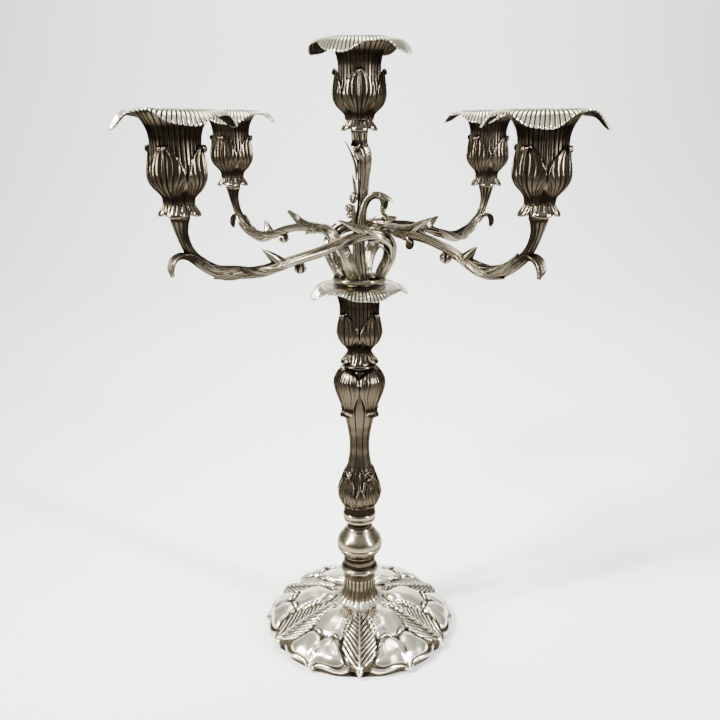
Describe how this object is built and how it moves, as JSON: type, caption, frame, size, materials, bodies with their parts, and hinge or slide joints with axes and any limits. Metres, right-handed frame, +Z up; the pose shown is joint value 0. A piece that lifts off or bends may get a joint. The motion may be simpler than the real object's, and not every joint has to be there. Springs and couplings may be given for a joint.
{
  "type": "candelabrum",
  "caption": "Silver-plated candelabrum: scrolling leafy arms with tulip cups and loose petal drip pans, set in a baluster candlestick on a domed, leaf-worked foot.",
  "frame": {"origin": "centre of the foot, on the table", "axes": "+Z up along the stem; the arms point 45 degrees off +X and +Y; the picture is taken from the -Y side"},
  "size_m": [0.3749, 0.3749, 0.6],
  "materials": {
    "silver_bright": "polished",
    "silver_aged": "gloss",
    "brass": "satin"
  },
  "bodies": {
    "candlestick": {"foot_skirt": "silver_aged", "foot_shell": "silver_bright", "foot_washer": "brass", "foot_nut": "brass", "tie_rod": "brass", "foot_collar": "silver_aged", "lower_knop": "silver_aged", "ring_collar": "silver_aged", "baluster": "silver_aged", "shoulder_calyx": "silver_aged", "neck_knop": "silver_aged", "stick_cup": "silver_aged", "stick_calyx": "silver_aged", "stick_cup_nut": "brass"},
    "stick_pan": {"stick_pan": "silver_bright", "stick_nozzle": "silver_bright"},
    "branches": {"branch_plate": "silver_aged", "branch_spigot": "silver_aged", "centre_stem": "silver_aged", "centre_collar": "silver_aged", "centre_cup": "silver_aged", "centre_calyx": "silver_aged", "arm_front_left": "silver_aged", "arm_front_right": "silver_aged", "arm_back_right": "silver_aged", "arm_back_left": "silver_aged", "collar_front_left": "silver_aged", "collar_front_right": "silver_aged", "collar_back_right": "silver_aged", "collar_back_left": "silver_aged", "cup_front_left": "silver_aged", "cup_front_right": "silver_aged", "cup_back_right": "silver_aged", "cup_back_left": "silver_aged", "calyx_front_left": "silver_aged", "calyx_front_right": "silver_aged", "calyx_back_right": "silver_aged", "calyx_back_left": "silver_aged", "arm_nuts": "brass", "cup_nuts": "brass"},
    "pan_centre": {"pan_centre": "silver_bright", "nozzle_centre": "silver_bright"},
    "pan_front_left": {"pan_front_left": "silver_bright", "nozzle_front_left": "silver_bright"},
    "pan_front_right": {"pan_front_right": "silver_bright", "nozzle_front_right": "silver_bright"},
    "pan_back_right": {"pan_back_right": "silver_bright", "nozzle_back_right": "silver_bright"},
    "pan_back_left": {"pan_back_left": "silver_bright", "nozzle_back_left": "silver_bright"}
  },
  "joints": [
    {"name": "stick_pan_lift", "type": "slide", "parent": "candlestick", "child": "stick_pan", "axis": [0, 0, 1], "range_m": [0, 0.05]},
    {"name": "branch_turn", "type": "hinge", "parent": "stick_pan", "child": "branches", "pos_m": [0, 0, 0.37], "axis": [0, 0, 1], "continuous": true},
    {"name": "pan_centre_lift", "type": "slide", "parent": "branches", "child": "pan_centre", "axis": [0, 0, 1], "range_m": [0, 0.04]},
    {"name": "pan_front_left_lift", "type": "slide", "parent": "branches", "child": "pan_front_left", "axis": [0, 0, 1], "range_m": [0, 0.04]},
    {"name": "pan_front_right_lift", "type": "slide", "parent": "branches", "child": "pan_front_right", "axis": [0, 0, 1], "range_m": [0, 0.04]},
    {"name": "pan_back_right_lift", "type": "slide", "parent": "branches", "child": "pan_back_right", "axis": [0, 0, 1], "range_m": [0, 0.04]},
    {"name": "pan_back_left_lift", "type": "slide", "parent": "branches", "child": "pan_back_left", "axis": [0, 0, 1], "range_m": [0, 0.04]}
  ]
}
